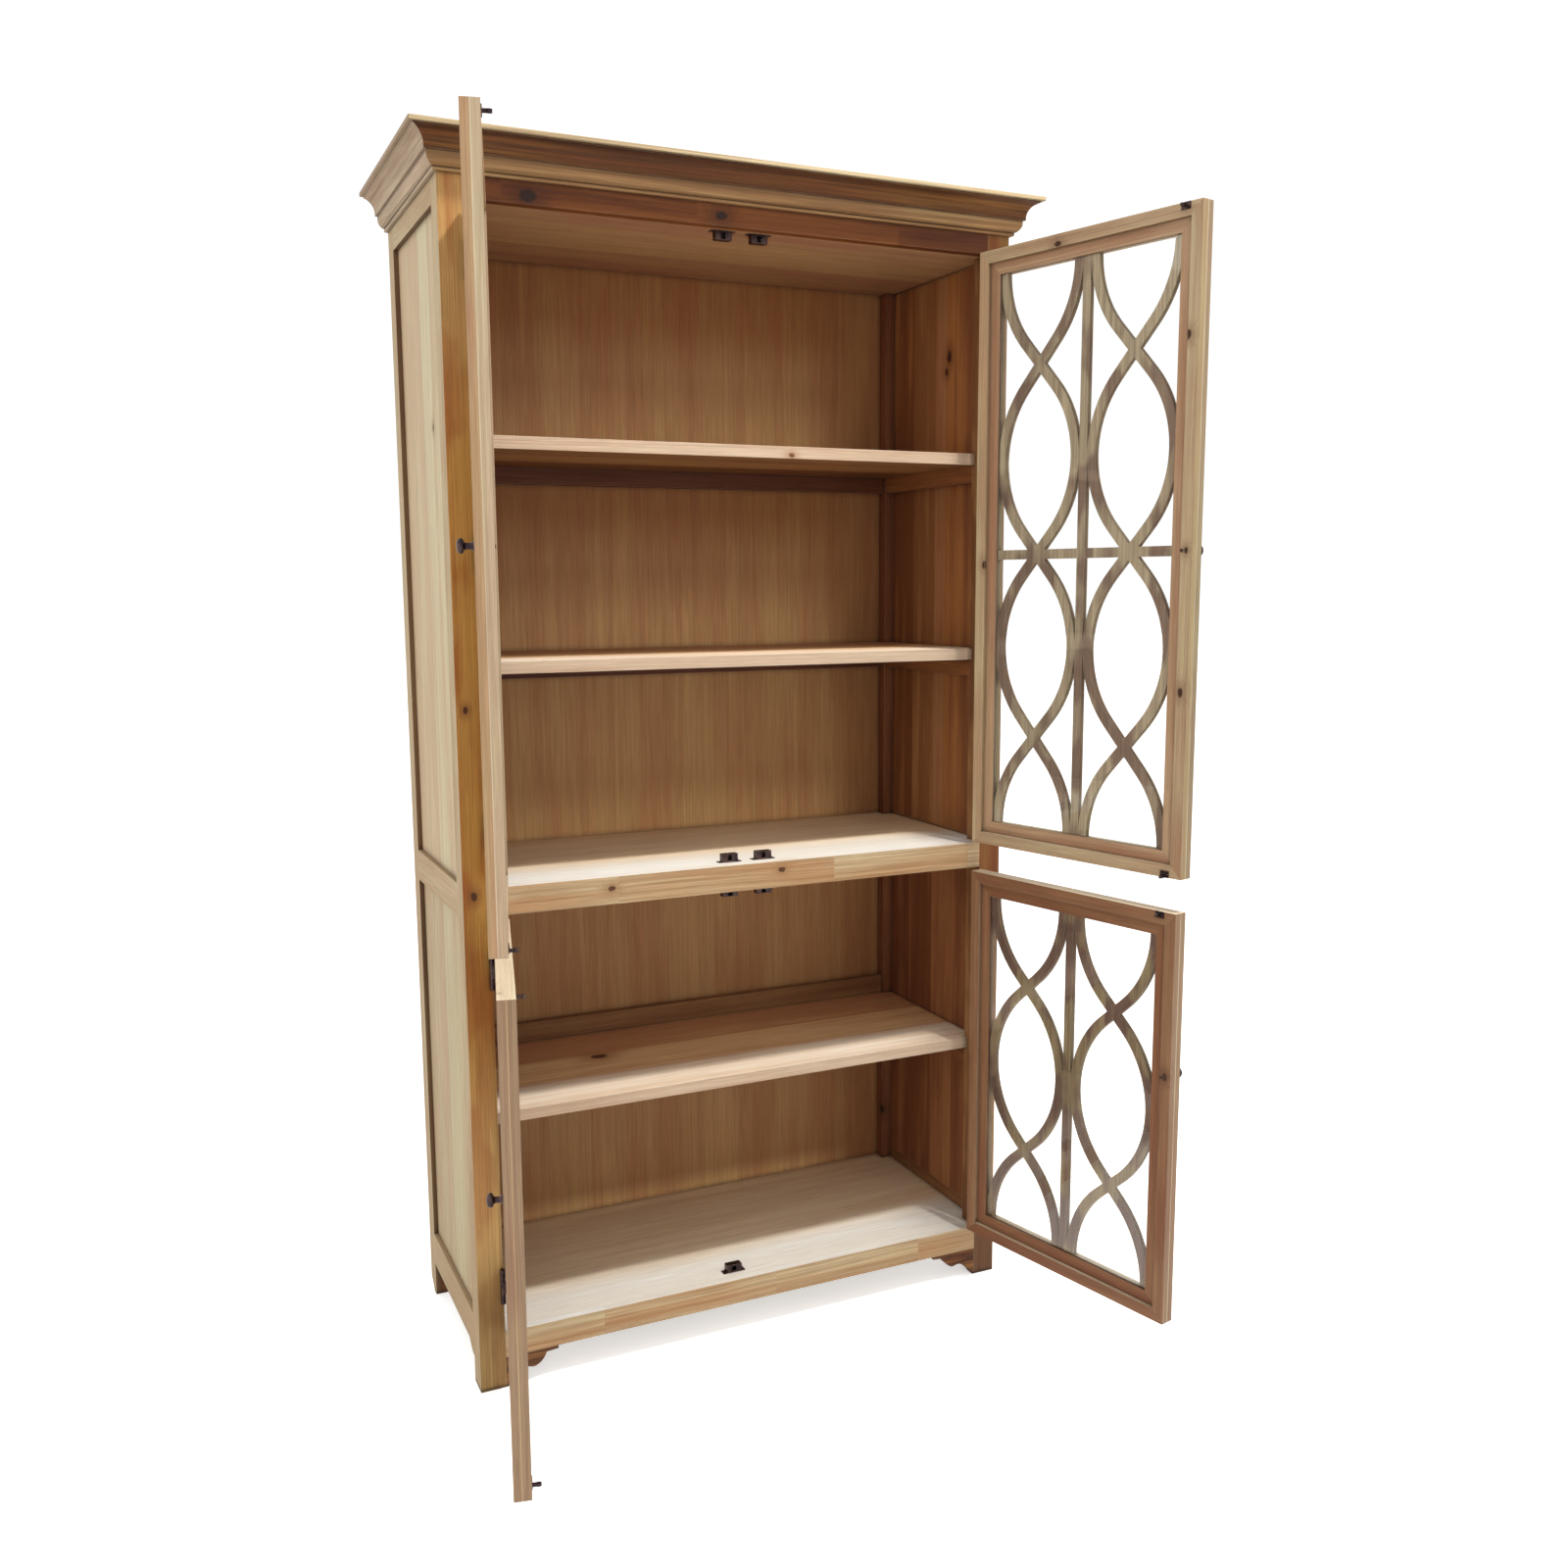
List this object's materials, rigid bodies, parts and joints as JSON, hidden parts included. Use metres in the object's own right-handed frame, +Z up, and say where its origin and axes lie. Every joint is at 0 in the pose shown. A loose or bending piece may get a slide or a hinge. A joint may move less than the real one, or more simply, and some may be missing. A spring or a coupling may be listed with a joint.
{
  "type": "chinese book cabinet",
  "caption": "Tall tiered book cabinet on bracket feet: glazed doors with curved crossing lattice hang on pin hinges, roller catches hold them shut, shelves behind.",
  "frame": {"origin": "on the floor, at the centre of the footprint that the carcass and its four open doors cover together; x = 0 is the cabinet's middle plane", "axes": "+Z up, -Y out of the front where the doors open, +X to the right of someone facing the front"},
  "size_m": [1.2808, 0.9524, 2.1875],
  "materials": {
    "amber_wood": "oiled and waxed, satin, honey to orange brown with knots",
    "pale_wood": "bare planed wood under thin matt varnish, pale tan",
    "red_brown_wood": "stained red brown, satin",
    "olive_wood": "sawn slats, matt olive brown",
    "clear_glass": "clear 3 mm float glass",
    "dark_bronze": "dark bronzed, worn brighter on the edges",
    "bright_steel": "turned steel rollers, dull"
  },
  "bodies": {
    "carcass": {"post_front_left": "amber_wood", "post_front_right": "amber_wood", "post_rear_left": "pale_wood", "post_rear_right": "pale_wood", "side_rails_left": "pale_wood", "side_rails_right": "pale_wood", "side_panels_left": "pale_wood", "side_panels_right": "pale_wood", "rail_front_top": "red_brown_wood", "rail_front_middle": "amber_wood", "rail_front_bottom": "amber_wood", "back_panels": "red_brown_wood", "back_rails": "red_brown_wood", "ceiling_board": "red_brown_wood", "middle_deck": "pale_wood", "bottom_deck": "pale_wood", "shelf_upper_high": "pale_wood", "shelf_upper_low": "pale_wood", "shelf_lower": "pale_wood", "shelf_cleats": "red_brown_wood", "cornice_front": "amber_wood", "cornice_left": "amber_wood", "cornice_right": "amber_wood", "top_board": "amber_wood", "foot_brackets": "amber_wood", "hinge_frame_leaves": "dark_bronze", "catch_bodies": "dark_bronze", "catch_rollers": "bright_steel"},
    "door_upper_left": {"stiles_upper_left": "pale_wood", "rails_upper_left": "pale_wood", "lattice_upper_left": "olive_wood", "glass_upper_left": "clear_glass", "glazing_beads_upper_left": "pale_wood", "knob_upper_left": "dark_bronze", "hinge_leaves_upper_left": "dark_bronze", "catch_spears_upper_left": "dark_bronze"},
    "door_upper_right": {"stiles_upper_right": "pale_wood", "rails_upper_right": "pale_wood", "lattice_upper_right": "olive_wood", "glass_upper_right": "clear_glass", "glazing_beads_upper_right": "pale_wood", "knob_upper_right": "dark_bronze", "hinge_leaves_upper_right": "dark_bronze", "catch_spears_upper_right": "dark_bronze"},
    "door_lower_left": {"stiles_lower_left": "pale_wood", "rails_lower_left": "pale_wood", "lattice_lower_left": "olive_wood", "glass_lower_left": "clear_glass", "glazing_beads_lower_left": "pale_wood", "knob_lower_left": "dark_bronze", "hinge_leaves_lower_left": "dark_bronze", "catch_spears_lower_left": "dark_bronze"},
    "door_lower_right": {"stiles_lower_right": "pale_wood", "rails_lower_right": "pale_wood", "lattice_lower_right": "olive_wood", "glass_lower_right": "clear_glass", "glazing_beads_lower_right": "pale_wood", "knob_lower_right": "dark_bronze", "hinge_leaves_lower_right": "dark_bronze", "catch_spears_lower_right": "dark_bronze"}
  },
  "joints": [
    {"name": "door_upper_left_hinge", "type": "hinge", "parent": "carcass", "child": "door_upper_left", "pos_m": [-0.5045, 0.02121, 1.5101], "axis": [0, 0, -1], "range_deg": [-104, 71]},
    {"name": "door_upper_right_hinge", "type": "hinge", "parent": "carcass", "child": "door_upper_right", "pos_m": [0.5045, 0.02121, 1.5101], "axis": [0, 0, 1], "range_deg": [-104, 71]},
    {"name": "door_lower_left_hinge", "type": "hinge", "parent": "carcass", "child": "door_lower_left", "pos_m": [-0.5045, 0.02121, 0.4969], "axis": [0, 0, -1], "range_deg": [-103, 72]},
    {"name": "door_lower_right_hinge", "type": "hinge", "parent": "carcass", "child": "door_lower_right", "pos_m": [0.5045, 0.02121, 0.4969], "axis": [0, 0, 1], "range_deg": [-103, 72]}
  ]
}
